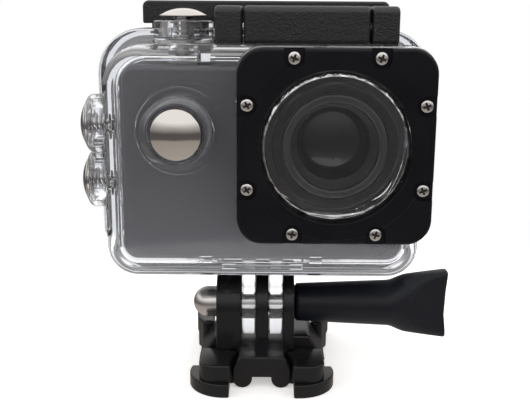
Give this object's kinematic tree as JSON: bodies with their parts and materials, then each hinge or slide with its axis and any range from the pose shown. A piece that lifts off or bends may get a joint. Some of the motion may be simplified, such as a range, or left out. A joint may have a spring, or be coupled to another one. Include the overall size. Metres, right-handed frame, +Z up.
{
  "type": "action camera",
  "caption": "Compact camera sealed in a clear waterproof case with a square lens port, sprung chrome buttons and a top latch, on a tilting prong mount with a slide-in buckle.",
  "frame": {"origin": "centre of the buckle's flat underside", "axes": "+Z up through the tilt pivot, +X to the right towards the thumb screw knob, -Y forwards along the lens axis"},
  "size_m": [0.0828, 0.041, 0.0833],
  "materials": {
    "black_plastic_satin": "satin moulded black",
    "black_plastic_grained": "fine leather-like grain, black",
    "knob_plastic": "satin black with a slightly blue cast",
    "clear_case": "clear polished polycarbonate",
    "window_glass": "clear, polished",
    "bezel_black": "smooth satin black",
    "chrome_cap": "bright chrome plate",
    "steel_bright": "bright plated steel",
    "spring_steel": "drawn spring wire",
    "seal_rubber": "matte black",
    "gasket_silicone": "translucent white silicone",
    "camera_grey": "fine metallic grey paint",
    "camera_black": "fine matte texture",
    "button_grey": "semi-gloss grey",
    "lens_black": "black, semi-matte",
    "trim_grey": "satin grey ring",
    "lens_glass": "coated optical glass",
    "display_black": "dark glossy panel",
    "sensor_chip": "black package",
    "board_green": "solder mask green",
    "battery_wrap": "plastic sleeve",
    "speaker_black": "matte black",
    "port_steel": "tinned steel",
    "status_led": "clear tinted lens"
  },
  "bodies": {
    "buckle": {"buckle_body": "black_plastic_satin", "mount_nut": "chrome_cap"},
    "left_release": {"release_arm_left": "black_plastic_satin"},
    "right_release": {"release_arm_right": "black_plastic_satin"},
    "thumb_screw": {"thumb_screw_bolt": "steel_bright", "thumb_screw_knob": "knob_plastic"},
    "housing": {"housing_front_shell": "clear_case", "lens_window": "window_glass", "window_seal": "seal_rubber", "port_bezel": "bezel_black", "bezel_screws": "steel_bright", "plunger_seals": "seal_rubber", "latch_hinge_pin": "steel_bright", "door_hinge_pin": "steel_bright", "shutter_spring": "spring_steel", "power_spring": "spring_steel", "up_spring": "spring_steel", "down_spring": "spring_steel", "camera_front_cover": "camera_grey", "camera_mid_frame": "camera_black", "camera_back_cover": "camera_black", "display_glass": "window_glass", "display_panel": "display_black", "lens_barrel": "lens_black", "lens_trim_ring": "trim_grey", "lens_front_element": "lens_glass", "lens_baffle": "lens_black", "lens_rear_element": "lens_glass", "image_sensor": "sensor_chip", "main_board": "board_green", "battery": "battery_wrap", "battery_door": "camera_black", "speaker": "speaker_black", "data_ports": "port_steel", "memory_card": "sensor_chip", "button_switches": "port_steel", "body_screws": "steel_bright", "status_lights": "status_led"},
    "door": {"back_door": "clear_case", "door_gasket": "gasket_silicone"},
    "latch_link": {"latch_arm": "black_plastic_grained", "latch_knuckle_pin": "steel_bright"},
    "latch_lever": {"latch_lever": "black_plastic_grained"},
    "shutter_plunger": {"shutter_plunger": "chrome_cap", "shutter_clip": "spring_steel"},
    "shutter_button": {"camera_shutter_button": "button_grey"},
    "power_plunger": {"power_plunger": "chrome_cap", "power_clip": "spring_steel"},
    "power_button": {"camera_power_button": "button_grey"},
    "up_plunger": {"up_plunger": "chrome_cap", "up_clip": "spring_steel"},
    "up_button": {"camera_up_button": "button_grey"},
    "down_plunger": {"down_plunger": "chrome_cap", "down_clip": "spring_steel"},
    "down_button": {"camera_down_button": "button_grey"}
  },
  "joints": [
    {"name": "housing_tilt", "type": "hinge", "parent": "buckle", "child": "housing", "pos_m": [0, 0, 0.0155], "axis": [-1, 0, 0], "range_deg": [-62, 52]},
    {"name": "thumb_screw_turn", "type": "hinge", "parent": "buckle", "child": "thumb_screw", "pos_m": [0, 0, 0.0155], "axis": [1, 0, 0], "continuous": true},
    {"name": "left_release_squeeze", "type": "hinge", "parent": "buckle", "child": "left_release", "pos_m": [-0.0069, -0.0095, 0.0155], "axis": [0, 0, -1], "range_deg": [0, 3], "stiffness_Nm_per_rad": 2},
    {"name": "right_release_squeeze", "type": "hinge", "parent": "buckle", "child": "right_release", "pos_m": [0.0069, -0.0095, 0.0155], "axis": [0, 0, 1], "range_deg": [0, 3], "stiffness_Nm_per_rad": 2},
    {"name": "door_swing", "type": "hinge", "parent": "housing", "child": "door", "pos_m": [0, 0.01, 0.0231], "axis": [1, 0, 0], "range_deg": [-105, 0]},
    {"name": "latch_link_swing", "type": "hinge", "parent": "housing", "child": "latch_link", "pos_m": [0.0085, 0.0025, 0.0783], "axis": [1, 0, 0], "range_deg": [-90, 0]},
    {"name": "latch_lever_lift", "type": "hinge", "parent": "latch_link", "child": "latch_lever", "pos_m": [0.0085, -0.0055, 0.0777], "axis": [1, 0, 0], "range_deg": [0, 150]},
    {"name": "shutter_press", "type": "slide", "parent": "housing", "child": "shutter_plunger", "axis": [0, 0, -1], "range_m": [0, 0.0007], "stiffness_N_per_m": 2500, "deforming": ["shutter_spring"]},
    {"name": "shutter_button_press", "type": "slide", "parent": "housing", "child": "shutter_button", "axis": [0, 0, -1], "range_m": [0, 0.00028]},
    {"name": "power_press", "type": "slide", "parent": "housing", "child": "power_plunger", "axis": [0, 1, 0], "range_m": [0, 0.0007], "stiffness_N_per_m": 2500, "deforming": ["power_spring"]},
    {"name": "power_button_press", "type": "slide", "parent": "housing", "child": "power_button", "axis": [0, 1, 0], "range_m": [0, 0.00028]},
    {"name": "up_press", "type": "slide", "parent": "housing", "child": "up_plunger", "axis": [1, 0, 0], "range_m": [0, 0.0007], "stiffness_N_per_m": 2500, "deforming": ["up_spring"]},
    {"name": "up_button_press", "type": "slide", "parent": "housing", "child": "up_button", "axis": [1, 0, 0], "range_m": [0, 0.00028]},
    {"name": "down_press", "type": "slide", "parent": "housing", "child": "down_plunger", "axis": [1, 0, 0], "range_m": [0, 0.0007], "stiffness_N_per_m": 2500, "deforming": ["down_spring"]},
    {"name": "down_button_press", "type": "slide", "parent": "housing", "child": "down_button", "axis": [1, 0, 0], "range_m": [0, 0.00028]}
  ],
  "couplings": [
    {"joint": "latch_link_swing", "follows": "latch_lever_lift", "ratio": -0.6},
    {"joint": "shutter_button_press", "follows": "shutter_press", "ratio": 0.4},
    {"joint": "power_button_press", "follows": "power_press", "ratio": 0.4},
    {"joint": "up_button_press", "follows": "up_press", "ratio": 0.4},
    {"joint": "down_button_press", "follows": "down_press", "ratio": 0.4}
  ]
}
